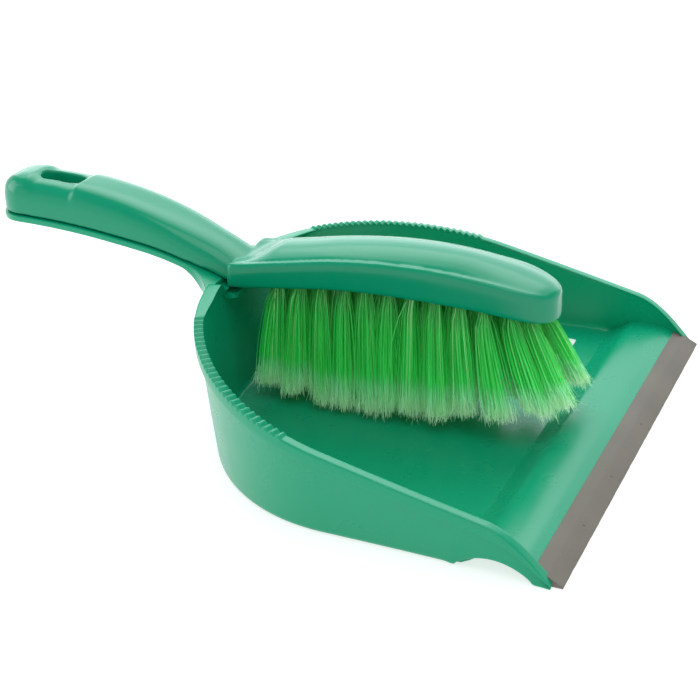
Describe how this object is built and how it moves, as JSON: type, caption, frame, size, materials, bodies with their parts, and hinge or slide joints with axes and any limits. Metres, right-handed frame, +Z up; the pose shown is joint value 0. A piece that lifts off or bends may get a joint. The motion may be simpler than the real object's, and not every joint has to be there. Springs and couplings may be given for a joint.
{
  "type": "dustpan and brush",
  "caption": "Handled dustpan with a rubber lip and a ribbed rim, and a soft hand brush whose hollow handle nests over the pan's handle.",
  "frame": {"origin": "middle of the base's bottom plane, below the centre of the overall box", "axes": "+X from the handle towards the rubber lip, +Z up, the set symmetric about Y = 0"},
  "size_m": [0.325, 0.229, 0.0963],
  "materials": {
    "pan_plastic": "satin moulded polypropylene",
    "lip_rubber": "matt",
    "label_film": "smooth film",
    "brush_plastic": "satin moulded polypropylene",
    "anchor_wire": "drawn wire",
    "bristle": "fine flagged filament"
  },
  "bodies": {
    "dustpan": {"pan_body": "pan_plastic", "rubber_lip": "lip_rubber", "floor_label": "label_film"},
    "brush": {"brush_stock": "brush_plastic", "tuft_anchors": "anchor_wire", "tuft_rank_01": "bristle", "tuft_rank_02": "bristle", "tuft_rank_03": "bristle", "tuft_rank_04": "bristle", "tuft_rank_05": "bristle", "tuft_rank_06": "bristle", "tuft_rank_07": "bristle", "tuft_rank_08": "bristle", "tuft_rank_09": "bristle", "tuft_rank_10": "bristle", "tuft_rank_11": "bristle", "tuft_rank_12": "bristle", "tuft_rank_13": "bristle", "tuft_rank_14": "bristle", "tuft_rank_15": "bristle", "tuft_rank_16": "bristle", "tuft_rank_17": "bristle", "tuft_rank_18": "bristle", "tuft_rank_19": "bristle", "tuft_rank_20": "bristle", "tuft_rank_21": "bristle", "tuft_rank_22": "bristle"}
  },
  "joints": [
    {"name": "brush_lift", "type": "slide", "parent": "dustpan", "child": "brush", "axis": [0, 0, 1], "range_m": [0, 0.12]}
  ]
}
